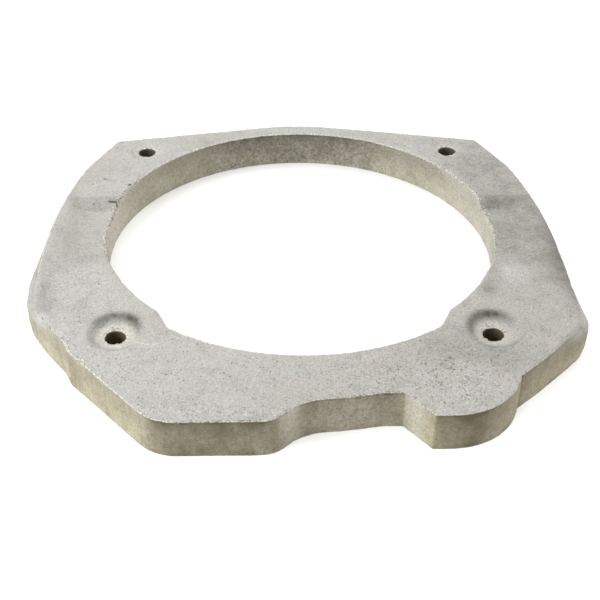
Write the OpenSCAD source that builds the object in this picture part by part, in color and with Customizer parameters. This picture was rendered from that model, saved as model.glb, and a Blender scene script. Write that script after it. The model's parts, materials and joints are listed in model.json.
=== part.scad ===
// Front counterweight of a drum washing machine, cast in concrete as one piece.
// The origin is the middle of the four bolt holes, on the flat underside.
// +Z goes up through the thickness, and the notched front edge lies towards -Y.

/* [Plate] */
// Thickness of the casting
thickness = 36; // [30:0.5:44]
// Width over the two straight sides
width = 482; // [476:1:500]
// Diameter of the round opening
opening_d = 370; // [340:1:376]

/* [Back edge and ears] */
// Wall between the opening and the round middle of the back edge
back_wall = 19; // [14:0.5:26]
// Slope of the two straight stretches of the back edge, in degrees
back_slope = 10.8; // [8:0.1:14]
// Distance between the corners of the two ears
ear_span = 386; // [370:1:400]
// Slope of the outer edge of each ear, in degrees
ear_slope = 65.5; // [62:0.5:72]

/* [Side arms] */
// Radius of the bowed part of each side
bow_r = 620; // [500:5:900]
// Where the bowed part runs into the straight part, forward of the opening's axis
bow_front = 50; // [20:1:70]

/* [Front shoulders] */
// Radius of the left shoulder about the opening's axis
left_shoulder_r = 267.5; // [260:0.5:270]
// Distance of the right shoulder from the opening's axis
right_shoulder = 282.5; // [276:0.5:288]
// Bearing of the right shoulder's nearest point, in degrees from the front
right_turn = 44.5; // [42:0.5:48]
// Radius of the right shoulder's bow
right_shoulder_r = 500; // [400:10:700]

/* [Front foot] */
// Distance of the front face from the opening's axis
foot_front = 276; // [270:0.5:290]
// Distance of the slanted face from the opening's axis
foot_slant = 272.5; // [270:0.5:280]
// Turn of the slanted face from the front face, in degrees
foot_turn = 49; // [45:0.5:53]
// Radius of the corner between the slanted face and the front face
foot_corner_r = 38; // [10:1:60]
// Bearing where the left shoulder ends, in degrees from the front
step_outer = 49.5; // [48:0.5:54]
// Bearing where the slanted face begins, in degrees from the front
step_inner = 46; // [42:0.5:47]

/* [Front notch] */
// Radius of the notch's floor about the opening's axis
notch_r = 251; // [240:0.5:256]
// Where the sloping flank leaves the front face, left of the opening's axis
notch_left = 26; // [10:1:60]
// Slope of that flank, in degrees
notch_slope = 48; // [40:0.5:56]
// Radius that rounds the flank into the front face
notch_outer_r = 25; // [5:1:40]
// Radius that rounds the flank into the floor
notch_inner_r = 45; // [10:1:60]
// Distance of the floor's flat end from the opening's axis
notch_flat = 244; // [240:0.5:248]
// Place of the sharp corner at the floor's flat end, right of the opening's axis
notch_right = 77; // [72:0.5:84]

/* [Front lobe] */
// Diameter of the round lobe
lobe_d = 124; // [110:1:130]
// Place of the lobe's centre, right of the opening's axis
lobe_x = 113; // [108:1:118]
// Distance of the lobe's front from the opening's axis
lobe_front = 271; // [264:0.5:280]
// Place of the corner between the lobe's flank and its front
lobe_corner_x = 98; // [92:0.5:104]

/* [Relief in the opening] */
// How much deeper the front stretch of the opening's edge lies
relief_depth = 11; // [4:0.5:16]
// Width of the relief where it leaves the round edge
relief_w = 253; // [180:1:280]
// Lean of its two ends from straight ahead, in degrees
relief_lean = 24.5; // [10:0.5:35]

/* [Trough across the arms] */
// Depth of the shallow trough in the top face of both arms
trough_depth = 7; // [3:0.5:12]
// Where its steep back step begins, behind the opening's axis
trough_back = 50; // [30:1:80]
// Run of the back step
trough_step = 11; // [4:0.5:20]
// Where its front ramp ends, in front of the opening's axis
trough_front = 80; // [50:1:110]
// Run of the front ramp
trough_ramp = 42; // [20:1:60]
// Radius about the opening's axis where the trough has run out
trough_r = 229; // [215:1:232]
// Width over which it runs out
trough_fade = 18; // [8:1:28]

/* [Bolt holes] */
// Diameter of the bolt holes
bolt_hole_d = 18; // [12:0.5:20]
// Spacing of the holes across the plate
bolt_span_x = 320; // [310:1:326]
// Spacing of the holes from the back row to the front row
bolt_span_y = 313; // [305:1:318]
// Place of the front row, in front of the opening's axis
bolt_front = 164; // [158:1:170]
// Diameter of a front seat at the top face
seat_d = 47; // [40:0.5:50]
// Diameter of a front seat's flat floor
seat_floor_d = 33; // [26:0.5:36]
// Depth of a front seat
seat_depth = 5; // [2:0.5:10]
// Diameter of a back seat at the top face
back_seat_d = 34; // [30:0.5:38]
// Diameter of a back seat's flat floor
back_seat_floor_d = 29; // [24:0.5:29.5]
// Depth of a back seat
back_seat_depth = 1.5; // [0.5:0.5:4]

/* [Hidden] */
$fn = 96;

// How far a cutter runs past the face that it opens
over = 2;
// How much further the trough's side slopes run below its floor
slope_run = 1.25;
// How far the pieces of the outline run into each other
lap = 12;
// How far a round stands past the faces that it joins, so that they meet at a clear corner
tuck = 0.05;
// How far a corner's cutter reaches past the corner, as a share of its distance from the round's centre
tip_reach = 1.3;
opening_r = opening_d / 2;
relief_r = opening_r + relief_depth;
back_r = opening_r + back_wall;
back_flat = back_r - tuck;
half_w = width / 2;
ear_x = ear_span / 2;
ear_y = (back_flat - ear_x * sin(back_slope)) / cos(back_slope);
lobe_r = lobe_d / 2;
lobe_y = lobe_r - lobe_front;
// Place of the opening's axis, behind the middle of the bolt holes
axis_y = bolt_front - bolt_span_y / 2;

// Point at a radius from the opening's axis and a bearing from the front, positive to the left
function bearing(r, angle) = [-r * sin(angle), -r * cos(angle)];

// Corner where two lines meet, each given by its normal's bearing and its distance from the axis
function meet(a, da, b, db) =
    let (na = bearing(1, a), nb = bearing(1, b), det = na.x * nb.y - na.y * nb.x)
    [(da * nb.y - db * na.y) / det, (na.x * db - nb.x * da) / det];

// The back ring, the ears and the bowed sides
module back_half() {
    tangent = back_flat * [sin(back_slope), cos(back_slope)];
    slant_y = ear_y - (half_w - ear_x) * tan(ear_slope);
    right = [[half_w, -bow_front - lap], [half_w, slant_y], [ear_x, ear_y], tangent];
    left = [for (i = [len(right) - 1:-1:0]) [-right[i].x, right[i].y]];
    circle(r = back_r);
    intersection() {
        polygon(concat(right, left));
        translate([half_w - bow_r, -bow_front]) circle(r = bow_r);
        translate([bow_r - half_w, -bow_front]) circle(r = bow_r);
    }
}

// Part of a disc, forward of the bow and between two places across the plate
module front_disc(centre, r, from_x, to_x) {
    intersection() {
        translate(centre) circle(r = r);
        translate([from_x, -r]) square([to_x - from_x, r - bow_front]);
    }
}

// Removes the tip of a corner outside a circle that touches both of its sides
module corner_tip(corner, centre, side_a, side_b, r) {
    difference() {
        polygon([centre + tip_reach * (corner - centre), side_a, centre, side_b]);
        translate(centre) circle(r = r + tuck);
    }
}

// The foot: a step out of the shoulder, the slanted face, a round corner and the front face
module foot() {
    step_a = bearing(left_shoulder_r, step_outer);
    step_b = bearing(foot_slant / cos(foot_turn - step_inner), step_inner);
    step_in = step_a - lap * (step_b - step_a) / norm(step_b - step_a);
    corner = meet(foot_turn, foot_slant, 0, foot_front);
    corner_run = foot_corner_r * tan(foot_turn / 2);
    corner_centre = [corner.x + corner_run, foot_corner_r - foot_front];
    flank_top = [-notch_left, -foot_front];
    flank_run = notch_outer_r * tan(notch_slope / 2);
    flank_centre = [flank_top.x - flank_run, notch_outer_r - foot_front];
    floor_end = [flank_top.x + (foot_front - notch_flat) / tan(notch_slope), -notch_flat];
    difference() {
        polygon([[step_in.x, -bow_front], step_in, step_b, corner, flank_top, floor_end, [0, -bow_front]]);
        corner_tip(corner, corner_centre, [corner_centre.x, -foot_front],
            corner_centre + bearing(foot_corner_r, foot_turn), foot_corner_r);
        corner_tip(flank_top, flank_centre, [flank_centre.x, -foot_front],
            flank_centre + bearing(notch_outer_r, -notch_slope), notch_outer_r);
    }
}

// The hollow round between the notch's sloping flank and its floor
module notch_round() {
    normal = bearing(1, -notch_slope);
    along = [normal.y, -normal.x];
    flank_d = normal * [-notch_left, -foot_front];
    off = flank_d + notch_inner_r;
    reach = sqrt(pow(notch_r + notch_inner_r, 2) - pow(off, 2));
    centre = off * normal + reach * along;
    on_flank = centre - notch_inner_r * normal;
    on_floor = centre * notch_r / norm(centre);
    difference() {
        polygon([on_flank, centre, on_floor, [0, -bow_front]]);
        translate(centre) circle(r = notch_inner_r + tuck);
    }
}

// The round lobe, with the flat flank that it turns to the notch
module lobe() {
    floor_x = sqrt(pow(notch_r, 2) - pow(notch_flat, 2));
    translate([lobe_x, lobe_y]) intersection() {
        circle(r = lobe_r);
        translate([-lap, -lobe_r]) square([lobe_r + lap, lobe_d]);
    }
    polygon([[floor_x - lap, -notch_flat], [notch_right, -notch_flat], [lobe_corner_x, -lobe_front],
        [lobe_x, -lobe_front], [lobe_x, lobe_y], [0, -bow_front]]);
}

// Outline of the plate, seen from above
module outline() {
    back_half();
    front_disc([0, 0], notch_r, -half_w, half_w);
    front_disc([0, 0], left_shoulder_r, -half_w, bearing(left_shoulder_r, step_outer).x + lap);
    front_disc(bearing(right_shoulder - right_shoulder_r, -right_turn), right_shoulder_r, lobe_x, half_w);
    foot();
    notch_round();
    lobe();
}

// The opening, with the deeper stretch of its front edge
module opening() {
    start = [relief_w / 2, -sqrt(pow(opening_r, 2) - pow(relief_w / 2, 2))];
    lean = [-sin(relief_lean), -cos(relief_lean)];
    inside = start - lap * lean;
    outside = start - (relief_r + over + start.y) / lean.y * lean;
    translate([0, 0, -over]) cylinder(h = thickness + 2 * over, r = opening_r);
    translate([0, 0, -over]) linear_extrude(thickness + 2 * over) intersection() {
        circle(r = relief_r);
        polygon([inside, outside, [-outside.x, outside.y], [-inside.x, inside.y]]);
    }
}

// The shallow trough: a step at the back, a ramp at the front, running out before the outer edge
module trough() {
    floor_z = thickness - trough_depth;
    below = thickness - trough_depth * slope_run;
    intersection() {
        rotate([90, 0, 90]) translate([0, 0, -half_w]) linear_extrude(width) polygon([
            [-trough_front, thickness + over], [-trough_front, thickness],
            [-trough_front + trough_ramp * slope_run, below],
            [trough_back - trough_step * slope_run, below],
            [trough_back, thickness], [trough_back, thickness + over]]);
        rotate_extrude() polygon([[0, floor_z], [trough_r - trough_fade, floor_z],
            [trough_r, thickness], [trough_r, thickness + over], [0, thickness + over]]);
    }
}

// A bolt hole under a seat with a sloping wall
module bolt_hole(top_d, floor_d, depth) {
    slope = (top_d - floor_d) / 2 / depth;
    translate([0, 0, -over]) cylinder(h = thickness + 2 * over, d = bolt_hole_d);
    translate([0, 0, thickness - depth])
        cylinder(h = depth + over, r1 = floor_d / 2, r2 = top_d / 2 + slope * over);
}

module counterweight() {
    color([0.76, 0.75, 0.72]) translate([0, axis_y, 0]) difference() {
        linear_extrude(thickness) outline();
        opening();
        trough();
        for (side = [-1, 1]) {
            translate([side * bolt_span_x / 2, -bolt_front, 0])
                bolt_hole(seat_d, seat_floor_d, seat_depth);
            translate([side * bolt_span_x / 2, bolt_span_y - bolt_front, 0])
                bolt_hole(back_seat_d, back_seat_floor_d, back_seat_depth);
        }
    }
}

counterweight();
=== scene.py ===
import json
import math

import bpy
import numpy as np
from mathutils import Matrix, Vector, noise
from mathutils.bvhtree import BVHTree
from mathutils.geometry import delaunay_2d_cdt
from mathutils.kdtree import KDTree


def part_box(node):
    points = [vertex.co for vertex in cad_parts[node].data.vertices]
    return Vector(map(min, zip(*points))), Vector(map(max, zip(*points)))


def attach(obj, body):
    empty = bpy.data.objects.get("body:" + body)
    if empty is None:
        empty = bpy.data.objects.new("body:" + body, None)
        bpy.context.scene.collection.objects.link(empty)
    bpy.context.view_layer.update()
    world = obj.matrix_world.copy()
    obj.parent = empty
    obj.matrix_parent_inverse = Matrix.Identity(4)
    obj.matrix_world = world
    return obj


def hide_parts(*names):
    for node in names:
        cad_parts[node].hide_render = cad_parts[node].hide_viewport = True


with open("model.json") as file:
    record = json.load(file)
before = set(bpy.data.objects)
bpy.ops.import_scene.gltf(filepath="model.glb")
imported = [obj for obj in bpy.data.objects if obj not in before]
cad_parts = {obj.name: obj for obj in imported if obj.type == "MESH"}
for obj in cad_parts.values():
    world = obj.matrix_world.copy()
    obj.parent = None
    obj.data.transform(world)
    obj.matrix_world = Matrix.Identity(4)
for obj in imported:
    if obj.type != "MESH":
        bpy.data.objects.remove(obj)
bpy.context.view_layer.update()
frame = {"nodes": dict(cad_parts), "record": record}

MM = 0.001
NODE = "counterweight"
rng = np.random.default_rng(11)

# Spacing of the skin's points: along the rims, across both faces, round the bolt holes and down the walls
RIM_STEP = 1.65
TOP_STEP = 1.85
UNDER_STEP = 9.0
RING_STEP = 1.2
RIM_RINGS = (0.9, 2.0, 3.4)
TOP_ROWS = (0.7, 1.6, 3.0)
FOOT_ROWS = (3.0, 1.5, 0.6)
WALL_ROWS = 13

# The outline's turns above this angle are corners
CORNER_ANGLE = math.radians(15)

# The front corners are the outline's farthest points to each side, looked for slightly towards the front
FRONT_LEAN = 0.02

# The solid's points below this height are its underside
GROUND_Z = 0.01

# Points closer than this become one point. Rim faces below this area, in mm2, are slivers and are left out
SAME_POINT_GAP = 1e-6
LEAST_RIM_FACE = 1e-4

# Height from which the top face is looked for
PROBE_HEIGHT = 100.0

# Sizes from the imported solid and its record
low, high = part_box(NODE)
bolts = next(m for m in frame["record"]["mounts"] if m["name"] == "bolts")
HOLE_R = bolts["dims"]["hole_r_mm"]
TOP_Z = high.z / MM

# The front bolt holes' seats, whose slope is longer behind the hole
SEAT_DEPTH = 5.0
SEAT_FLOOR_R = 16.0
SEAT_RIM_R = 24.0
SEAT_BACKWARD = 6.0
SEAT_REACH = 31.0

# Where the pale floor of a seat fades out, away from the hole's axis
SEAT_PALE = (13, 20)

# Parts of the plan, each by the two values between which it fades in along x, outward, or along y.
# The steep back step of the trough crosses both arms. In front of it they have long ramps,
# and their outer edges are rounded. The right edge is darker, and the opening's far rim has a broader painted
# highlight
STEP_FRONT_Y, STEP_BACK_Y = (44, 48), (65, 60)
STEP_INNER_X, STEP_OUTER_X = (174, 182), (234, 222)
RAMP_X, RAMP_BACK_Y, RAMP_FRONT_Y = (180, 195), (42, 30), (-90, -60)
ARM_EDGE_X, ARM_EDGE_Y = (195, 215), (60, -40)
DARK_EDGE_X, DARK_EDGE_BACK_Y, DARK_EDGE_FRONT_Y = (100, 160), (60, -40), (-150, -110)
FAR_RIM_Y = (60, 120)
FRONT_HOLES_Y = (0, -100)

# How often heights are averaged: everywhere, to round the creases, and then on the ramps
CREASE_PASSES, RAMP_PASSES = 3, 60

# Open pores as x, y, radius and depth, and paths of cracks and of a raised seam
PORES = ((-171.0, 86.5, 2.6, 2.4), (-198.0, 99.0, 2.4, 1.1), (-194.5, 98.0, 1.6, 0.9),
         (-182.5, 35.0, 1.6, 1.6), (-163.5, -143.8, 1.4, 1.3), (-159.0, -145.2, 1.2, 1.2),
         (-155.0, -144.6, 1.0, 1.0), (156.5, -143.5, 1.3, 1.2), (161.0, -144.8, 1.1, 1.1),
         (152.5, -146.0, 0.9, 0.9))
CRACKS = (((-188.5, 56.0), (-180.5, 55.0), (-177.5, 45.0)), ((-179.5, 51.0), (-177.0, 42.0)))
SEAMS = (((-142.5, -169.6), (-133.0, -173.0), (-127.0, -173.2), (-120.8, -172.3)),)
CRACK_DEPTH, CRACK_REACH = 1.9, 1.3
SEAM_HEIGHT, SEAM_REACH = 0.5, 1.5

# Random pores: the middle and the two spreads of their crowd on the lobe, and the largest radius
PORE_CROWD = (115.0, -215.0, 42.0, 22.0)
PORE_MOST_R = 1.35

# Soft patches in plan, each with its middle, its two half widths and its strength
PALE_TOP = ((-192, -70, 30, 34, 0.42), (192, -70, 15, 20, 0.9), (-150, -215, 60, 40, 0.25),
            (-185, 140, 30, 40, 0.2), (0, 203, 115, 14, 0.32))
DARK_TOP = ((210, 10, 50, 85, 0.37), (195, 130, 45, 50, 0.27), (150, -165, 60, 40, 0.12),
            (166, -195, 20, 14, 0.22), (163, -98, 9, 10, 0.3), (170, -88, 9, 22, 0.15),
            (120, -170, 40, 16, 0.12), (-208, -10, 45, 90, 0.07), (-236, -100, 16, 45, 0.26),
            (-222, -122, 18, 16, 0.11), (120, -190, 30, 12, 0.19), (230, -62, 12, 30, 0.30))
COARSE_TOP = ((130, -215, 70, 60, 0.55), (40, -215, 60, 30, 0.35), (205, 0, 45, 90, 0.55),
              (180, 130, 60, 60, 0.5), (-200, -60, 30, 60, 0.35), (-60, -256, 90, 9, 0.6))
# Of the pale wall patches, those on the notch's wall and on the lobe's flank are painted light
PALE_WALLS = ((-14, -256, 12, 10, 0.48), (87, -250, 9, 11, 0.32), (40, -243, 55, 12, 0.65),
              (-150, 115, 30, 35, 0.3), (-182, 35, 20, 60, 0.75), (165, 100, 30, 40, 0.42),
              (184, 30, 20, 70, 0.48))
DARK_WALLS = ((-241, -95, 16, 45, 0.26), (-196, -186, 7, 7, 0.3), (178, -214, 5, 5, 0.2),
              (135, -264, 18, 10, 0.36), (153, -245, 14, 10, 0.30), (111, -264, 13, 6, 0.22),
              (-119, -265, 11, 7, 0.14), (0, 192, 80, 20, 0.14), (-75, -268.5, 50, 5, 0.23))
CRUMBLY = ((-181, 20, 13, 55, 1.0), (-170, 80, 14, 25, 0.9), (-200, -190, 45, 50, 0.9),
           (182, 30, 13, 60, 0.8), (150, 115, 25, 25, 0.6), (-60, -262, 110, 10, 0.5),
           (60, -240, 60, 10, 0.4))

# A sharp upright crease of the outer wall, with the half width and the depth of its groove
CREASE = (172.5, -217.0)
GROOVE_HALF, GROOVE_DEPTH = 1.6, 1.2

# How far towards the front a wall has to turn to be in shade: the opening's wall, the outer wall and the
# right shoulder's wall, each by the two values between which the shade comes in
INNER_SHADE, OUTER_SHADE, SHOULDER_SHADE = (0.8, 0.98), (0.77, 0.94), (0.4, 0.6)

# The two front corners: how far their rounded look reaches, how far their walls stand out,
# and the middle of the left wall's bulge
CORNER_REACH = 42
CORNER_PROUD = 4.6
LEFT_BULGE = (-241.0, -75.0)

# Radius of the worn upper edge: its limits, and what the front corners and the arms add to it
LEAST_ARRIS_R, MOST_ARRIS_R = 0.5, 10.0
LEFT_CORNER_R, RIGHT_CORNER_R = 8.0, 3.0
ARM_EDGE_R = 2.0

# How strongly the top's colour runs over the edge at the left and at the right front corner,
# and how far down the walls it ends
LEFT_FADE, RIGHT_FADE = 1.6, 1.2
LEFT_FADE_END, RIGHT_FADE_END = 18.0, 11.0

# Dimension and gap between octaves of the noise in the shape
NOISE_DIMENSION, NOISE_LACUNARITY = 0.9, 2.0

# The floor's disc, and lights in a wide circle that keep it pale far from the object, in metres and watts
FLOOR_R = 3.5
FLOOR_SIDES = 96
FLOOR_WASHES = 8
FLOOR_WASH_R = 3.0
FLOOR_WASH_Z = 1.8
FLOOR_WASH_SIZE = (2.2, 2.2)
FLOOR_WASH_POWER = 34
FLOOR_WASH_SPREAD = math.radians(80)

# Strength of the white world as a light, and as a backdrop that the camera sees
WORLD_LIGHT, WORLD_SEEN = 0.11, 1.0


def fractal(points, size, octaves=3, shift=0.0):
    """Smooth noise of about -1 to 1 at each point, with features of about the given size."""
    scaled = np.asarray(points) / size + shift
    return np.array([noise.fractal(p, NOISE_DIMENSION, NOISE_LACUNARITY, octaves) for p in scaled])


def smoothstep(a, b, x):
    """A smooth change from 0 at a to 1 at b."""
    t = np.clip((np.asarray(x, float) - a) / (b - a), 0, 1)
    return t * t * (3 - 2 * t)


def bell(x, half_width):
    """A soft bump: 1 at zero, and little left beyond twice the half width."""
    return np.exp(-(x / half_width) ** 2)


def with_z(plan):
    """Points of the plan as points in space, at height zero."""
    return np.column_stack([plan, np.zeros(len(plan))])


def circle(centre, radius, count, turn=0.0):
    """Points spaced evenly on a circle, the first one at the angle turn."""
    angle = 2 * math.pi * np.arange(count) / count + turn
    return np.asarray(centre) + radius * np.column_stack([np.cos(angle), np.sin(angle)])


def solid_triangles(node):
    """Corner positions and triangles of a node's mesh."""
    mesh = node.data
    mesh.calc_loop_triangles()
    corners = np.array([v.co for v in mesh.vertices]) / MM
    return corners, [tuple(t.vertices) for t in mesh.loop_triangles]


def underside_loops(corners, triangles):
    """Closed loops of the underside's edges, the longest first, with the solid on the left of each."""
    edges = set()
    for tri in triangles:
        if corners[list(tri), 2].max() < GROUND_Z:
            keys = [tuple(np.round(corners[i, :2], 3)) for i in tri]
            edges.update(zip(keys[1:] + keys[:1], keys))
    follow = {a: b for a, b in edges if (b, a) not in edges}
    loops = []
    while follow:
        start = min(follow)
        point = follow.pop(start)
        loop = [start]
        while point != start:
            loop.append(point)
            point = follow.pop(point)
        loops.append(np.array(loop))
    return sorted(loops, key=lambda loop: -np.linalg.norm(loop - np.roll(loop, 1, 0), axis=1).sum())


def circle_loop(loop):
    """A small round loop as a true circle, in the direction of a hole's loop."""
    centre = (loop.min(0) + loop.max(0)) / 2
    radius = np.linalg.norm(loop - centre, axis=1).max()
    return circle(centre, radius, round(2 * math.pi * radius / RIM_STEP))[::-1]


def even_loop(loop, settle=12, soften=1):
    """The loop with evenly spaced points: smooth along its curves, and barely rounded at its corners."""
    ahead = np.roll(loop, -1, 0) - loop
    behind = loop - np.roll(loop, 1, 0)
    turn = np.arctan2(behind[:, 0] * ahead[:, 1] - behind[:, 1] * ahead[:, 0], (behind * ahead).sum(1))
    corners = np.flatnonzero(np.abs(turn) > CORNER_ANGLE)
    loop = np.roll(loop, -corners[0], 0)
    corners = list(corners - corners[0]) + [len(loop)]
    closed = np.vstack([loop, loop[:1]])
    points = []
    fixed = []
    for a, b in zip(corners, corners[1:]):
        run = closed[a:b + 1]
        along = np.concatenate([[0], np.cumsum(np.linalg.norm(np.diff(run, axis=0), axis=1))])
        count = max(2, round(along[-1] / RIM_STEP))
        at = np.linspace(0, along[-1], count, endpoint=False)
        points.append(np.column_stack([np.interp(at, along, run[:, k]) for k in (0, 1)]))
        fixed += [True] + [False] * (count - 1)
    points = np.vstack(points)
    moves = ~np.array(fixed)[:, None]
    for i in range(settle + soften):
        middle = (np.roll(points, 1, 0) + 2 * points + np.roll(points, -1, 0)) / 4
        points = np.where(moves | (i >= settle), middle, points)
    return points


def round_off(loop, tip, reach=30, passes=24):
    """The loop with the corner at its point number tip rounded over a reach."""
    share = 1 - smoothstep(0.5 * reach, reach, np.linalg.norm(loop - loop[tip], axis=1))[:, None]
    for _ in range(passes):
        middle = (np.roll(loop, 1, 0) + 2 * loop + np.roll(loop, -1, 0)) / 4
        loop = loop + share * (middle - loop)
    return loop


def outward_normals(loop):
    """Directions in plan that point out of the solid, one for each point of the loop."""
    along = np.roll(loop, -1, 0) - np.roll(loop, 1, 0)
    normal = np.column_stack([along[:, 1], -along[:, 0]])
    return normal / np.linalg.norm(normal, axis=1)[:, None]


def inside_loops(points, loops):
    """Which points lie inside the outline and outside its holes, by counting edges crossed."""
    inside = np.zeros(len(points), bool)
    for loop in loops:
        a = loop
        b = np.roll(loop, -1, 0)
        for k, (x, y) in enumerate(points):
            spans = (a[:, 1] > y) != (b[:, 1] > y)
            start, end = a[spans], b[spans]
            share = (y - start[:, 1]) / (end[:, 1] - start[:, 1])
            cross = start[:, 0] + share * (end[:, 0] - start[:, 0])
            inside[k] ^= bool(np.count_nonzero(cross > x) % 2)
    return inside


def triangulate(loops, extra):
    """Triangles over the plate's plan. The loops' points come first, in order, then the extra ones."""
    rim = np.vstack(loops)
    points = np.vstack([rim, extra])
    edges = []
    first = 0
    for loop in loops:
        n = len(loop)
        edges += [(first + i, first + (i + 1) % n) for i in range(n)]
        first += n
    found = delaunay_2d_cdt([Vector(p) for p in points], edges, [], 0, SAME_POINT_GAP)
    source = [ids[0] for ids in found[3]]
    faces = np.array([[source[i] for i in f] for f in found[2]])
    doubtful = np.flatnonzero((faces < len(rim)).all(1))
    keep = np.ones(len(faces), bool)
    sides = np.diff(points[faces[doubtful]], axis=1)
    area = np.abs(sides[:, 0, 0] * sides[:, 1, 1] - sides[:, 0, 1] * sides[:, 1, 0]) / 2
    keep[doubtful] = inside_loops(points[faces[doubtful]].mean(1), loops) & (area > LEAST_RIM_FACE)
    return faces[keep]


# The plate's plan: its outline, its opening and its bolt holes, in this order
solid_corners, solid_faces = solid_triangles(frame["nodes"][NODE])
solid_tree = BVHTree.FromPolygons([Vector(c) for c in solid_corners], solid_faces)
raw_loops = underside_loops(solid_corners, solid_faces)
loops = [even_loop(loop) for loop in raw_loops[:2]] + [circle_loop(loop) for loop in raw_loops[2:]]
front_corners = []
for tip in ((loops[0] @ (1, FRONT_LEAN)).argmin(), (loops[0] @ (1, -FRONT_LEAN)).argmax()):
    front_corners.append(loops[0][tip].copy())
    loops[0] = round_off(loops[0], tip)
normals = [outward_normals(loop) for loop in loops]
hole_centres = np.array([(loop.min(0) + loop.max(0)) / 2 for loop in loops[2:]])
rim = np.vstack(loops)
rim_normal = np.vstack(normals)
rim_tree = KDTree(len(rim))
for i, p in enumerate(rim):
    rim_tree.insert((*p, 0), i)
rim_tree.balance()


def nearest_rim(points):
    """Distance from each point to the nearest rim, and that rim point's number."""
    found = [rim_tree.find((*p, 0)) for p in points]
    return np.array([f[2] for f in found]), np.array([f[1] for f in found])


def nearest_hole(points):
    """Distance to the nearest bolt hole's axis, and the direction from it: backward and inward."""
    away = points[:, None, :] - hole_centres[None, :, :]
    far = np.linalg.norm(away, axis=2)
    rows = np.arange(len(points))
    nearest = far.argmin(1)
    reach = np.maximum(far[rows, nearest], 1)
    inward = -np.sign(hole_centres[nearest, 0]) * away[rows, nearest, 0]
    return far[rows, nearest], away[rows, nearest, 1] / reach, inward / reach


def top_heights(points):
    """Height of the solid's top face at each point, or nan beside the solid."""
    heights = np.full(len(points), np.nan)
    for i, (x, y) in enumerate(points):
        hit = solid_tree.ray_cast(Vector((x, y, PROBE_HEIGHT)), Vector((0, 0, -1)))[0]
        if hit is not None:
            heights[i] = hit.z
    return heights


def on_plate(points):
    """Which points of the plan lie on the solid."""
    return ~np.isnan(top_heights(points))


def patches(points, spots):
    """Sum of soft patches, each given by its middle, its two half widths and its strength."""
    total = np.zeros(len(points))
    for x, y, half_x, half_y, strength in spots:
        total += strength * bell(points[:, 0] - x, half_x) * bell(points[:, 1] - y, half_y)
    return total


def corner_share(points):
    """Nearness to the plate's two front corners, where its upper edge is well rounded."""
    gap = np.min([np.linalg.norm(points - c, axis=1) for c in front_corners], axis=0)
    return bell(gap, CORNER_REACH)


def arm_share(points):
    """Nearness to the outer edges of the two arms, which are rounded off before the middle."""
    return smoothstep(*ARM_EDGE_X, np.abs(points[:, 0])) * smoothstep(*ARM_EDGE_Y, points[:, 1])


def crumb_share(points):
    """How crumbly the upper rim is near each point."""
    return np.clip(0.2 + patches(points, CRUMBLY), 0, 1)


def even_grid(step, margin, wander):
    """Points in a triangular grid over the plate, no nearer to its rim than the margin."""
    x0, y0 = low.x / MM, low.y / MM
    row_step = step * math.sqrt(0.75)
    rows = int((high.y / MM - y0) / row_step) + 1
    columns = int((high.x / MM - x0) / step) + 1
    r, c = np.meshgrid(np.arange(rows), np.arange(columns), indexing="ij")
    grid = np.column_stack([(x0 + (c + r % 2 / 2) * step).ravel(), (y0 + r * row_step).ravel()])
    grid += rng.uniform(-wander, wander, grid.shape)
    grid = grid[on_plate(grid)]
    return grid[nearest_rim(grid)[0] > margin]


def scatter_pores(count=230, crowd=90, rim_gap=3.5):
    """Open pores of the top face, as rows of x, y, radius and depth. Some crowd on the front lobe."""
    mid_x, mid_y, spread_x, spread_y = PORE_CROWD
    x = np.concatenate([rng.uniform(low.x / MM, high.x / MM, count), rng.normal(mid_x, spread_x, crowd)])
    y = np.concatenate([rng.uniform(low.y / MM, high.y / MM, count), rng.normal(mid_y, spread_y, crowd)])
    radius = np.minimum(0.8 + rng.gamma(1.6, 0.32, count + crowd), PORE_MOST_R)
    depth = radius * rng.uniform(0.35, 0.75, count + crowd)
    pores = np.column_stack([x, y, radius, depth])
    clear = (nearest_rim(pores[:, :2])[0] > rim_gap) & (nearest_hole(pores[:, :2])[0] > SEAT_REACH)
    return np.vstack([pores[on_plate(pores[:, :2]) & clear], PORES])


def scatter_crumbs(nearest=0.8, farthest=5.5):
    """Grains that stand up along the crumbly rims, as rows of x, y, radius and height."""
    edge = np.arange(len(loops[0]) + len(loops[1]))
    chance = smoothstep(0.45, 0.95, crumb_share(rim[edge]))
    chosen = edge[rng.uniform(0, 1, len(edge)) < 0.85 * chance]
    inward = nearest + (farthest - nearest) * rng.uniform(0, 1, len(chosen)) ** 2
    place = rim[chosen] - inward[:, None] * rim_normal[chosen]
    radius = rng.uniform(0.7, 1.4, len(chosen))
    return np.column_stack([place, radius, radius * rng.uniform(0.45, 0.85, len(chosen))])


def path_points(path, step=0.7):
    """Points a step apart along a path of straight runs."""
    runs = []
    for a, b in zip(np.array(path[:-1]), np.array(path[1:])):
        count = max(2, round(np.linalg.norm(b - a) / step))
        runs.append(a + (b - a) * np.linspace(0, 1, count)[:, None])
    return np.vstack(runs)


def path_near(points, paths, reach):
    """How near each point is to the paths: 1 on a path and 0 beyond the reach."""
    gap = np.full(len(points), 2 * reach)
    for spot in np.vstack([path_points(p) for p in paths]):
        gap = np.minimum(gap, np.linalg.norm(points - spot, axis=1))
    return 1 - smoothstep(0, reach, gap)


def spot_rise(points, spots):
    """Height of round spots at each point. A spot has its middle, its radius and its height."""
    rise = np.zeros(len(points))
    tree = KDTree(len(points))
    for i, p in enumerate(points):
        tree.insert((*p, 0), i)
    tree.balance()
    for x, y, radius, height in spots:
        for _, i, far in tree.find_range((x, y, 0), radius):
            rise[i] = max(rise[i], height * (1 - (far / radius) ** 2))
    return rise


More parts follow.
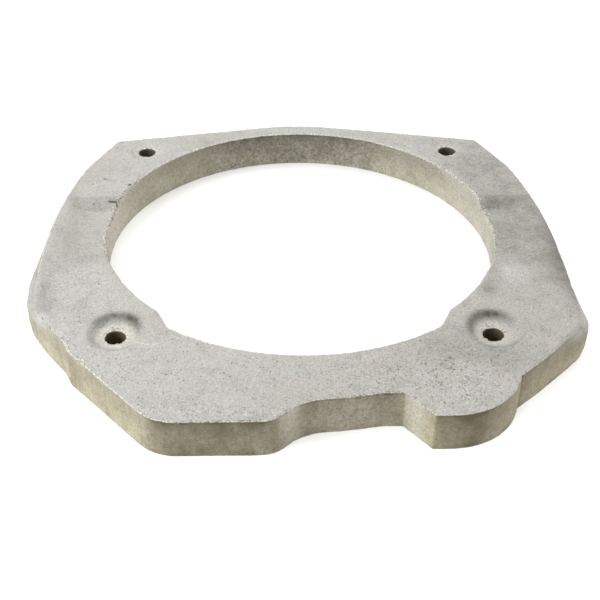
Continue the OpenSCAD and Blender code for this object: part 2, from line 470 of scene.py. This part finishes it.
def mark_points(spots):
    """Extra points that let the skin follow its pores, crumbs, cracks and seams."""
    ring_shares = (0.5, 0.95, 1.35)
    ring_count = 8
    line_shifts = (-1.3, -0.6, 0, 0.6, 1.3)
    shift_way = np.array((0.5, 0.86))
    found = []
    for x, y, radius, _ in spots:
        found.append(np.array([(x, y)]))
        for share in ring_shares:
            found.append(circle((x, y), share * radius, ring_count, share))
    for path in CRACKS + SEAMS:
        line = path_points(path)
        for shift in line_shifts:
            found.append(line + shift * shift_way)
    return np.vstack(found)


def top_points(spots, mark_gap=0.5, wander=0.3):
    """Points inside the top face: marks, rings along its edges, rings about the bolt holes, and a grid."""
    marks = mark_points(spots)
    found = [marks[nearest_rim(marks)[0] > mark_gap]]
    last_ring = RIM_RINGS[-1]
    for loop, normal in zip(loops[:2], normals[:2]):
        for reach in RIM_RINGS:
            ring = loop - reach * normal
            found.append(ring[nearest_rim(ring)[0] > 0.85 * reach])
    for centre in hole_centres:
        for radius in np.arange(HOLE_R + RING_STEP, SEAT_REACH, RING_STEP):
            ring = circle(centre, radius, round(2 * math.pi * radius / RIM_STEP), rng.uniform())
            found.append(ring[(nearest_rim(ring)[0] > last_ring + 0.8) | (radius < 2 * HOLE_R)])
    grid = even_grid(TOP_STEP, last_ring + 0.6 * TOP_STEP, wander)
    found.append(grid[nearest_hole(grid)[0] > SEAT_REACH])
    points = np.vstack(found)
    return points[on_plate(points)]


def smooth_heights(heights, faces, passes, share=1.0):
    """Heights averaged with their neighbours a few times, which rounds the creases."""
    a = np.concatenate([faces[:, 0], faces[:, 1], faces[:, 2]])
    b = np.concatenate([faces[:, 1], faces[:, 2], faces[:, 0]])
    ends = np.concatenate([a, b])
    others = np.concatenate([b, a])
    # A point that no face uses has no neighbours, and counts as one to avoid a division by zero
    count = np.maximum(np.bincount(ends, minlength=len(heights)), 1)
    for _ in range(passes):
        middle = np.bincount(ends, heights[others], len(heights)) / count
        heights = heights + share * (middle - heights) / 2
    return heights


def arris_radius():
    """Radius of the worn upper edge at each rim point, larger where the edge has crumbled."""
    spot = with_z(rim)
    radius = 1.1 + 0.45 * fractal(spot, 22, 3) + 0.35 * fractal(spot, 5, 2, 7.3)
    crumble = smoothstep(0.1, 0.6, fractal(spot, 11, 3, 31.7))
    crumble *= smoothstep(-0.3, 0.3, fractal(spot, 70, 2, 3.1))
    corner_r = np.where(rim[:, 0] < 0, LEFT_CORNER_R, RIGHT_CORNER_R)
    radius += 1.8 * crumble + corner_r * corner_share(rim) + ARM_EDGE_R * arm_share(rim)
    radius += smoothstep(0.4, 0.9, crumb_share(rim)) * rng.uniform(0.2, 2.4, len(rim))
    in_hole = np.arange(len(rim)) >= len(loops[0]) + len(loops[1])
    hole_radius = 1.2 + 0.7 * fractal(spot, 4, 2, 12.1)
    return np.where(in_hole, hole_radius, np.clip(radius, LEAST_ARRIS_R, MOST_ARRIS_R))


def drawn_in(distance, radius, reach=8.0):
    """Distances from the sharp edge, pressed together so that the first lies on the round's middle."""
    arris = radius * (1 - math.sqrt(0.5))
    return np.where(distance < reach, arris + distance * (reach - arris) / reach, distance)


def round_drop(distance, radius):
    """How far a rounded edge lies below the face, at a distance from the sharp edge."""
    inside = np.clip(radius - distance, 0, None)
    return radius - np.sqrt(np.clip(radius ** 2 - inside ** 2, 0, None))


class Skin:
    """The counterweight's worn surface: points, faces and the values that its material reads."""

    def __init__(self):
        self.points = []
        self.faces = []
        self.values = {name: [] for name in ("wall", "rim", "pit", "pale", "bloom", "dirt", "coarse")}
        self.count = 0

    def add(self, points, **values):
        """Adds points with their values, and gives the points' numbers."""
        first = self.count
        self.points.append(np.asarray(points, float))
        for name, kept in self.values.items():
            kept.append(np.broadcast_to(np.asarray(values.get(name, 0.0), float), len(points)))
        self.count += len(points)
        return np.arange(first, self.count)

    def build(self, name):
        """Makes the mesh object, without the points that no face uses."""
        used = np.unique(np.concatenate([block.ravel() for block in self.faces]))
        place = np.zeros(self.count, int)
        place[used] = np.arange(len(used))
        faces = [face for block in self.faces for face in place[block].tolist()]
        mesh = bpy.data.meshes.new(name)
        mesh.from_pydata((np.vstack(self.points)[used] * MM).tolist(), [], faces)
        for value_name, kept in self.values.items():
            layer = mesh.attributes.new(value_name, "FLOAT", "POINT")
            layer.data.foreach_set("value", np.concatenate(kept)[used].astype(np.float32))
        mesh.shade_smooth()
        mesh.update()
        obj = bpy.data.objects.new(name, mesh)
        bpy.context.scene.collection.objects.link(obj)
        return obj


class TopPlan:
    """The top face's points in plan, and what lies near each of them."""

    def __init__(self, extra):
        self.points = np.vstack([rim, extra])
        self.spots = with_z(self.points)
        self.x, self.y = self.points.T
        self.distance, self.near = nearest_rim(self.points)
        self.distance[:len(rim)] = 0
        self.hole_far, self.backward, self.inward = nearest_hole(self.points)
        self.longer = SEAT_BACKWARD * np.clip(self.backward, 0, 1) ** 1.5
        self.by_front_hole = smoothstep(*FRONT_HOLES_Y, self.y)
        self.crack = path_near(self.points, CRACKS, CRACK_REACH)
        self.seam = path_near(self.points, SEAMS, SEAM_REACH)
        wear_and_highlight = np.maximum(crumb_share(self.points), 0.8 * (self.hole_far < HOLE_R + 4))
        self.crumb = wear_and_highlight * bell(self.distance, 1.6)

    def heights(self, faces):
        """The solid's height, with the seats' longer slopes and rounded creases."""
        heights = top_heights(np.vstack([rim - 0.5 * rim_normal, self.points[len(rim):]]))
        heights[np.isnan(heights)] = TOP_Z
        sunk = 1 - smoothstep(SEAT_FLOOR_R, SEAT_RIM_R + self.longer, self.hole_far)
        in_seat = (self.hole_far < SEAT_REACH + 3) & (self.y < 0)
        heights = np.where(in_seat, TOP_Z - SEAT_DEPTH * sunk, heights)
        heights = smooth_heights(heights, faces, CREASE_PASSES)
        ramps = smoothstep(*RAMP_X, np.abs(self.x)) * smoothstep(*RAMP_BACK_Y, self.y)
        ramps *= smoothstep(*RAMP_FRONT_Y, self.y)
        return smooth_heights(heights, faces, RAMP_PASSES, ramps)

    def pale(self, grains):
        """Pale laitance: the floors of the seats, the seam and loose grains."""
        floor = (0.35 + 0.45 * self.by_front_hole) * (1 - smoothstep(*SEAT_PALE, self.hole_far))
        return floor + 1.2 * self.seam + smoothstep(0.15, 0.5, grains)

    def dirt(self, grains):
        """Stains and painted shade: dark patches, a darker right edge, painted shade on the seats' slopes, on
        the trough's step and in the cracks, and specks at the rims.
        """
        ragged = 0.9 + 0.2 * smoothstep(-0.3, 0.5, fractal(self.spots, 2.5, 2, 44.0))
        edge = smoothstep(*DARK_EDGE_X, self.x) * smoothstep(*DARK_EDGE_BACK_Y, self.y)
        edge *= smoothstep(*DARK_EDGE_FRONT_Y, self.y)
        edge *= self.near < len(loops[0])
        # Painted shade on the front seats' slopes, deepest behind each hole where the slope faces the front,
        # and a faint darker line at each seat's front lip
        turned = np.where(self.x < 0, 0.3, 0.25)
        behind = np.clip(0.9 * self.backward + turned * self.inward, 0, 1)
        before = np.clip(-self.backward, 0, 1)
        slope_r = (SEAT_FLOOR_R + SEAT_RIM_R + 1.6 * self.longer) / 2
        slope = bell(self.hole_far - slope_r, 3.0 + 1.5 * behind)
        lip = bell(self.hole_far - SEAT_RIM_R, 1.1)
        seat = (0.04 + 0.92 * behind) * slope * ragged + 0.25 * before * lip
        arm_x = np.abs(self.x)
        # Painted shade on the trough's steep back step, which faces the front
        step = smoothstep(*STEP_FRONT_Y, self.y) * smoothstep(*STEP_BACK_Y, self.y)
        step *= smoothstep(*STEP_INNER_X, arm_x) * smoothstep(*STEP_OUTER_X, arm_x) * ragged
        specks = (rng.uniform(0, 1, len(self.points)) > 0.88) * (self.crumb > 0.3) * (grains < 0.1)
        dirt = patches(self.points, DARK_TOP) + 0.42 * edge * bell(self.distance, 10)
        return dirt + seat * self.by_front_hole + 0.2 * step + self.crack + 0.8 * specks


def make_top(skin, radius):
    """Adds the top face. Gives the numbers of its rim points and the rim's height before wear."""
    pores = scatter_pores()
    crumbs = scatter_crumbs()
    extra = top_points(np.vstack([pores, crumbs]))
    plan = TopPlan(extra)
    faces = triangulate(loops, extra)
    heights = plan.heights(faces)
    pit = spot_rise(plan.points, pores) + CRACK_DEPTH * plan.crack
    grains = spot_rise(plan.points, crumbs)
    swell = 0.32 * fractal(plan.spots, 70, 2) + 0.22 * fractal(plan.spots, 16, 3, 5.2)
    swell += 0.16 * fractal(plan.spots, 4.5, 2, 9.9) + rng.normal(0, 0.055, len(plan.points))
    z = heights + swell * smoothstep(0, 6, plan.distance + 2) - pit + grains + SEAM_HEIGHT * plan.seam
    z += plan.crumb * rng.uniform(-1.1, 0.6, len(z))
    inward = drawn_in(plan.distance, radius[plan.near])
    z -= round_drop(inward, radius[plan.near])
    shrink = inward - plan.distance + plan.crumb * rng.uniform(-0.6, 1.2, len(z))
    at = plan.points - shrink[:, None] * rim_normal[plan.near]
    # Painted highlight along the upper edges: strongest right at the edge and on the loose grains, broader
    # along the opening's far rim, and held back near the front corners
    far_rim = smoothstep(*FAR_RIM_Y, plan.y) * (plan.near >= len(loops[0]))
    wear_and_highlight = np.exp(-plan.distance / (1.3 + 1.2 * far_rim)) * (0.7 + 0.7 * plan.crumb + 0.4 * far_rim)
    wear_and_highlight *= 1 - np.minimum(np.where(plan.x < 0, 2.4, 1.0) * corner_share(plan.points), 1)
    wear_and_highlight = np.maximum(wear_and_highlight, 1.2 * smoothstep(0.15, 0.5, grains))
    ids = skin.add(np.column_stack([at, z]), rim=wear_and_highlight, pit=pit,
                   pale=plan.pale(grains), dirt=plan.dirt(grains),
                   bloom=patches(plan.points, PALE_TOP),
                   coarse=0.12 + patches(plan.points, COARSE_TOP))
    skin.faces.append(ids[faces])
    return ids[:len(rim)], heights[:len(rim)]


def make_underside(skin, foot_radius, margin=5.0, wander=0.8):
    """Adds the underside. Gives the numbers of its rim points."""
    extra = even_grid(UNDER_STEP, margin, wander)
    faces = triangulate(loops, extra)
    points = np.vstack([rim - 0.3 * foot_radius[:, None] * rim_normal, extra])
    lift = np.concatenate([0.3 * foot_radius, np.zeros(len(extra))])
    ids = skin.add(np.column_stack([points, lift]), wall=0.6)
    skin.faces.append(ids[faces[:, ::-1]])
    return ids[:len(rim)]


def wall_levels(rim_z, radius):
    """Heights of a wall's rows, from just below its worn upper edge to just above the ground."""
    levels = [rim_z - drawn_in(np.full(len(rim_z), d), radius) for d in TOP_ROWS]
    upper = levels[-1]
    for t in np.linspace(0, 1, WALL_ROWS)[1:-1]:
        levels.append(upper * (1 - t) + FOOT_ROWS[0] * t)
    return levels + [np.full(len(rim_z), h) for h in FOOT_ROWS]


def make_wall(skin, number, rim_z, radius, foot_radius):
    """Adds one loop's wall rows, from the top down. Gives the numbers of each row's points."""
    loop, normal = loops[number], normals[number]
    inner = number == 1
    bore = number > 1
    on_left = loop[:, 0] < 0
    corner = corner_share(loop)
    left_bulge = bell(np.linalg.norm(loop - LEFT_BULGE, axis=1), CORNER_REACH)
    proud = CORNER_PROUD * np.where(on_left, left_bulge, corner)
    fade = np.minimum(np.where(on_left, LEFT_FADE, RIGHT_FADE) * corner, 1)
    fade_end = np.where(on_left, LEFT_FADE_END, RIGHT_FADE_END)
    shoulder = smoothstep(*SHOULDER_SHADE, -normal[:, 1]) * (loop[:, 0] > CREASE[0])
    forward = smoothstep(*(INNER_SHADE if inner else OUTER_SHADE), -normal[:, 1])
    groove = bell(np.linalg.norm(loop - CREASE, axis=1), GROOVE_HALF)
    granular = 0.35 + (0.9 if inner else 0.25) * forward
    rows = []
    for level in wall_levels(rim_z, radius):
        here = np.column_stack([loop, level])
        depth = rim_z - level
        wave = 0.30 * fractal(here, 45, 2, 2.2) + 0.16 * fractal(here, 9, 3, 8.1)
        wave += rng.normal(0, 0.05, len(loop))
        hollow = (0.5 + 0.6 * granular) * smoothstep(0.35, 0.8, fractal(here, 4.0, 3, 77.7))
        out = proud * smoothstep(0, 8, depth) * smoothstep(-14, 16, level)
        inset = round_drop(depth, radius) + round_drop(level, foot_radius)
        at = loop + (wave + out - inset - hollow - GROOVE_DEPTH * groove)[:, None] * normal
        # Painted shade on the walls that face the front and on the right shoulder's wall, deeper and patchy
        # near the top edge
        patchy = smoothstep(-0.3, 0.5, fractal(here * (1, 1, 0.4), 8, 3, 19.0))
        upper = 0.22 * bell(depth - 1.6, 1.3) + (0.22 + 0.33 * patchy) * np.exp(-depth / 9)
        # At the foot of the opening's walls the painted shade fades, and where they face the front a painted
        # glow of light from the floor comes in
        foot = np.exp(-level / 4) if inner else np.zeros(len(loop))
        painted_shade = forward * (0.26 + upper) * (1 - 0.7 * foot) + 0.6 * shoulder * upper
        # Painted shade deepening down the bolt holes' walls, and painted shade in the crease's groove
        dirt = 1.2 * smoothstep(0.2, 2.5, depth) if bore else 0.9 * groove + painted_shade
        sheer = 1 - (1 - smoothstep(2, fade_end, depth)) * fade
        broken = crumb_share(loop) * np.exp(-depth / 3) * rng.uniform(0, 1, len(loop))
        dirt = dirt + 0.8 * (broken > 0.75) + patches(loop, DARK_WALLS)
        pale = patches(loop, PALE_WALLS) + broken + 0.35 * forward * foot
        # The top of each wall carries the same painted highlight just below the edge
        row = skin.add(np.column_stack([at, level]), wall=sheer, rim=np.exp(-depth / 1.1) * sheer,
                       pit=0.5 * hollow, pale=pale, dirt=dirt, coarse=granular)
        rows.append(row)
    return rows


def make_skin():
    """The whole worn surface: top face, underside, and a wall for each loop between them."""
    skin = Skin()
    radius = arris_radius()
    foot_radius = np.clip(0.6 + 0.5 * fractal(with_z(rim), 6, 3, 51.3), 0.2, 1.8)
    top_rim, rim_z = make_top(skin, radius)
    under_rim = make_underside(skin, foot_radius)
    first = 0
    for number, loop in enumerate(loops):
        part = slice(first, first + len(loop))
        rows = make_wall(skin, number, rim_z[part], radius[part], foot_radius[part])
        rows = [top_rim[part]] + rows + [under_rim[part]]
        for upper, lower in zip(rows, rows[1:]):
            quads = np.column_stack([upper, lower, np.roll(lower, -1), np.roll(upper, -1)])
            skin.faces.append(quads)
        first += len(loop)
    return skin.build(NODE + "_skin")


class Graph:
    """Short calls for building a material's nodes."""

    def __init__(self, name):
        self.material = bpy.data.materials.new(name)
        self.material.use_nodes = True
        self.tree = self.material.node_tree
        self.tree.nodes.clear()

    def put(self, socket, value):
        """Links a socket to another one, or sets its value."""
        if isinstance(value, bpy.types.NodeSocket):
            self.tree.links.new(value, socket)
        else:
            socket.default_value = value

    def node(self, kind, settings=None, **inputs):
        made = self.tree.nodes.new(kind)
        for key, value in (settings or {}).items():
            setattr(made, key, value)
        for key, value in inputs.items():
            self.put(made.inputs[key], value)
        return made

    def value(self, name):
        return self.node("ShaderNodeAttribute", {"attribute_name": name}).outputs["Fac"]

    def noise(self, where, scale, detail=3.0, roughness=0.55):
        made = self.node("ShaderNodeTexNoise", Vector=where, Scale=scale, Detail=detail, Roughness=roughness)
        return made.outputs["Fac"]

    def cells(self, where, scale):
        """Cells of a size of 1/scale: the distance from each cell's middle, and a random value for each."""
        made = self.node("ShaderNodeTexVoronoi", {"feature": "F1"}, Vector=where, Scale=scale)
        split = self.node("ShaderNodeSeparateColor", Color=made.outputs["Color"])
        return made.outputs["Distance"], split.outputs[0]

    def map(self, source, a, b, to_a=0.0, to_b=1.0):
        """A smooth change from to_a, where the source is a, to to_b, where it is b."""
        made = self.node("ShaderNodeMapRange", {"interpolation_type": "SMOOTHSTEP"})
        names = ("Value", "From Min", "From Max", "To Min", "To Max")
        for name, value in zip(names, (source, a, b, to_a, to_b)):
            self.put(made.inputs[name], value)
        return made.outputs["Result"]

    def math(self, operation, a, b):
        made = self.node("ShaderNodeMath", {"operation": operation})
        self.put(made.inputs[0], a)
        self.put(made.inputs[1], b)
        return made.outputs[0]

    def times(self, a, b):
        return self.math("MULTIPLY", a, b)

    def mix(self, factor, a, b):
        made = self.node("ShaderNodeMix", {"data_type": "RGBA"})
        for socket, value in zip((made.inputs[0], made.inputs[6], made.inputs[7]), (factor, a, b)):
            self.put(socket, value)
        return made.outputs[2]


def rgb(r, g, b):
    return (r, g, b, 1.0)


def top_colour(g, where, blotch):
    """The open-cast face: warm and cool greys that drift into each other."""
    broad = g.noise(where, 13, 4)
    tint = g.noise(where, 30, 2)
    colour = g.mix(g.map(broad, 0.35, 0.65), rgb(0.547, 0.538, 0.509), rgb(0.515, 0.496, 0.458))
    colour = g.mix(g.map(tint, 0.5, 0.68, 0, 0.5), colour, rgb(0.557, 0.509, 0.480))
    colour = g.mix(g.map(tint, 0.48, 0.32, 0, 0.5), colour, rgb(0.512, 0.525, 0.483))
    return g.mix(g.map(blotch, 0.45, 0.70, 0, 0.5), colour, rgb(0.394, 0.381, 0.355))


def wall_colour(g, where, blotch):
    """The mould-cast walls: brown, darker towards the top, faintly streaked. Gives the colour of their stains
    and painted shade too.
    """
    place = g.node("ShaderNodeSeparateXYZ", Vector=where)
    front = g.map(place.outputs["Y"], -0.10, -0.16)
    foot = g.mix(front, rgb(0.500, 0.468, 0.360), rgb(0.525, 0.472, 0.318))
    head = g.mix(front, rgb(0.310, 0.292, 0.226), rgb(0.335, 0.300, 0.203))
    colour = g.mix(g.map(place.outputs["Z"], 0.003, 0.034), foot, head)
    flat = g.node("ShaderNodeMapping", Vector=where, Scale=(1.0, 1.0, 0.12)).outputs["Vector"]
    streak = g.times(g.map(g.noise(flat, 240, 3), 0.45, 0.7, 0, 0.4), g.map(front, 0.0, 1.0, 0.3, 1.0))
    colour = g.mix(streak, colour, rgb(0.227, 0.200, 0.128))
    stain_and_shade = g.mix(front, rgb(0.112, 0.106, 0.083), rgb(0.125, 0.102, 0.062))
    return g.mix(g.map(blotch, 0.42, 0.68, 0, 0.6), colour, rgb(0.272, 0.240, 0.155)), stain_and_shade


def concrete():
    """Cast concrete: a granular grey face, browner walls, painted highlights on the worn edges, dark pores,
    stains and painted shade.
    """
    g = Graph("concrete")
    where = g.node("ShaderNodeTexCoord").outputs["Object"]
    wall = g.value("wall")
    coarse = g.value("coarse")
    blotch = g.noise(where, 55, 5, 0.6)
    grain = g.noise(where, 620, 4, 0.7)
    sand = g.noise(where, 1500, 2, 0.6)

    walls, wall_stain_and_shade = wall_colour(g, where, blotch)
    colour = g.mix(wall, top_colour(g, where, blotch), walls)
    colour = g.mix(g.map(g.value("pale"), 0.0, 1.0, 0, 0.8), colour, rgb(0.717, 0.682, 0.589))
    colour = g.mix(g.map(g.value("bloom"), 0.0, 1.0, 0, 0.8), colour, rgb(0.690, 0.682, 0.650))
    colour = g.mix(g.map(grain, 0.32, 0.68, 0.5, 0.0), colour, rgb(0.195, 0.186, 0.157))
    colour = g.mix(g.map(sand, 0.52, 0.72, 0.0, 0.3), colour, rgb(0.803, 0.778, 0.717))

    # Coarse grains of the aggregate, some darker and some lighter than the paste
    far, pick = g.cells(where, 430.0)
    body = g.times(g.map(far, 0.55, 0.25), coarse)
    colour = g.mix(g.times(body, g.map(pick, 0.62, 0.80, 0, 0.7)), colour, rgb(0.165, 0.155, 0.130))
    light = g.times(g.map(pick, 0.30, 0.12, 0, 0.5), g.map(wall, 0.0, 1.0, 1.0, 0.15))
    colour = g.mix(g.times(body, light), colour, rgb(0.803, 0.770, 0.690))
    lumps = g.noise(where, 300, 4, 0.75)
    rough = g.times(coarse, wall)
    colour = g.mix(g.times(rough, g.map(lumps, 0.50, 0.64, 0, 0.75)), colour, rgb(0.165, 0.145, 0.112))
    colour = g.mix(g.times(rough, g.map(lumps, 0.46, 0.34, 0, 0.5)), colour, rgb(0.620, 0.570, 0.470))

    # Painted shade in hollows: fine open pores as dark dots, and the larger pores, cracks and hollows of the
    # skin itself, darker the deeper they are
    far, pick = g.cells(where, 380.0)
    pore = g.times(g.map(far, 0.30, 0.12), g.map(pick, 0.50, 0.60))
    pore = g.times(pore, g.map(blotch, 0.35, 0.6, 0.25, 1.0))
    colour = g.mix(g.times(pore, g.map(wall, 0.0, 1.0, 0.75, 0.4)), colour, rgb(0.122, 0.115, 0.096))
    pit = g.value("pit")
    colour = g.mix(g.map(pit, 0.1, 0.9, 0, 0.75), colour, rgb(0.170, 0.160, 0.138))
    colour = g.mix(g.map(pit, 0.9, 1.8, 0, 0.85), colour, rgb(0.045, 0.042, 0.034))

    # Stains and painted shade: the colour darkens towards a dark stain colour, which is browner on the walls
    stain_and_shade = g.times(g.value("dirt"), g.map(blotch, 0.3, 0.7, 0.8, 1.2))
    colour = g.mix(stain_and_shade, colour, g.mix(wall, rgb(0.109, 0.106, 0.080), wall_stain_and_shade))
    # Painted highlight: the edge value brightens the colour in grainy flecks, less on the walls
    bright = g.times(g.map(g.value("rim"), 0.3, 0.9), g.map(grain, 0.45, 0.6))
    colour = g.mix(g.times(bright, g.map(wall, 0.0, 1.0, 0.75, 0.25)), colour, rgb(0.826, 0.797, 0.701))

    height = g.math("ADD", g.times(grain, 0.8), g.times(pore, -0.8))
    height = g.math("ADD", height, g.times(sand, 0.25))
    bump = g.node("ShaderNodeBump", Strength=0.7, Distance=0.0009, Height=height)
    shader = g.node("ShaderNodeBsdfPrincipled", Roughness=0.92, Normal=bump.outputs["Normal"])
    shader.inputs["Specular IOR Level"].default_value = 0.25
    g.put(shader.inputs["Base Color"], colour)
    g.node("ShaderNodeOutputMaterial", Surface=shader.outputs["BSDF"])
    return g.material


def floor_material():
    """A plain pale floor with little gloss."""
    g = Graph("pale_floor")
    shader = g.node("ShaderNodeBsdfPrincipled", Roughness=0.7)
    shader.inputs["Base Color"].default_value = rgb(0.93, 0.93, 0.92)
    shader.inputs["Specular IOR Level"].default_value = 0.1
    g.node("ShaderNodeOutputMaterial", Surface=shader.outputs["BSDF"])
    return g.material


def make_floor():
    """A round floor under the object."""
    mesh = bpy.data.meshes.new("floor")
    mesh.from_pydata(with_z(circle((0, 0), FLOOR_R, FLOOR_SIDES)).tolist(), [], [range(FLOOR_SIDES)])
    floor = bpy.data.objects.new("floor", mesh)
    floor.location.z = low.z
    floor.data.materials.append(floor_material())
    bpy.context.scene.collection.objects.link(floor)
    return floor


def area_light(name, place, target, size, power, colour=(1, 1, 1)):
    """A soft box that faces its target, with its two sides in metres and its power in watts."""
    data = bpy.data.lights.new(name, "AREA")
    data.shape = "RECTANGLE"
    data.size, data.size_y = size
    data.energy = power
    data.color = colour
    light = bpy.data.objects.new(name, data)
    light.location = place
    light.rotation_euler = (Vector(target) - Vector(place)).to_track_quat("-Z", "Y").to_euler()
    bpy.context.scene.collection.objects.link(light)
    return light


def make_light(floor):
    """Soft boxes behind, above, left and right, and lights that brighten only the floor."""
    area_light("sky", (0, 0.75, 1.6), (0, 0, 0), (2.4, 1.8), 28)
    area_light("front_top", (0.1, -0.9, 2.0), (0.05, -0.3, 0), (1.4, 0.8), 10)
    area_light("left", (-1.4, -0.55, 0.75), (0, -0.1, 0), (1.4, 0.8), 26.5, (0.96, 0.98, 1.0))
    area_light("right", (1.5, 0.3, 0.5), (0, 0, 0), (1.2, 0.8), 10.5)
    strip = area_light("floor_strip", (0.35, -0.75, 0.4), (0.3, -0.25, 0), (1.6, 0.2), 6.0)
    floor_lights = [strip]
    for x, y in circle((0, 0), FLOOR_WASH_R, FLOOR_WASHES).tolist():
        wash = area_light("floor_wash", (x, y, FLOOR_WASH_Z), (x, y, 0), FLOOR_WASH_SIZE, FLOOR_WASH_POWER)
        wash.data.spread = FLOOR_WASH_SPREAD
        floor_lights.append(wash)
    floor_only = bpy.data.collections.new("floor_only")
    floor_only.objects.link(floor)
    for light in floor_lights:
        light.visible_camera = False
        light.light_linking.receiver_collection = floor_only


def make_world():
    """A white world, faint as a light and bright where the camera sees it, and plain colour output."""
    world = bpy.data.worlds.new("studio")
    world.use_nodes = True
    background = world.node_tree.nodes["Background"]
    background.inputs["Color"].default_value = rgb(1, 1, 1)
    seen = world.node_tree.nodes.new("ShaderNodeLightPath").outputs["Is Camera Ray"]
    strength = world.node_tree.nodes.new("ShaderNodeMapRange")
    strength.inputs["To Min"].default_value = WORLD_LIGHT
    strength.inputs["To Max"].default_value = WORLD_SEEN
    world.node_tree.links.new(seen, strength.inputs["Value"])
    world.node_tree.links.new(strength.outputs["Result"], background.inputs["Strength"])
    bpy.context.scene.world = world
    bpy.context.scene.view_settings.view_transform = "Standard"


def make_camera():
    """Camera at the photograph's place. Its pose and lens were worked out from the plate's outline."""
    focal_px = 1125.55
    image_px = 600
    place = Vector((-25.7, -904.5, 620.15)) * MM
    yaw, pitch, roll = (math.radians(a) for a in (1.612, 36.409, 0.522))
    forward = Vector((math.sin(yaw) * math.cos(pitch), math.cos(yaw) * math.cos(pitch), -math.sin(pitch)))
    level = Vector((math.cos(yaw), -math.sin(yaw), 0))
    upright = level.cross(forward)
    right = math.cos(roll) * level + math.sin(roll) * upright
    up = math.cos(roll) * upright - math.sin(roll) * level
    data = bpy.data.cameras.new("camera")
    data.sensor_width = 36
    data.lens = focal_px / image_px * data.sensor_width
    camera = bpy.data.objects.new("camera", data)
    turn = Matrix((right, up, -forward)).transposed()
    camera.matrix_world = Matrix.Translation(place) @ turn.to_4x4()
    bpy.context.scene.collection.objects.link(camera)
    bpy.context.scene.camera = camera


skin = make_skin()
skin.data.materials.append(concrete())
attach(skin, "root")
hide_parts(NODE)
make_light(make_floor())
make_world()
make_camera()
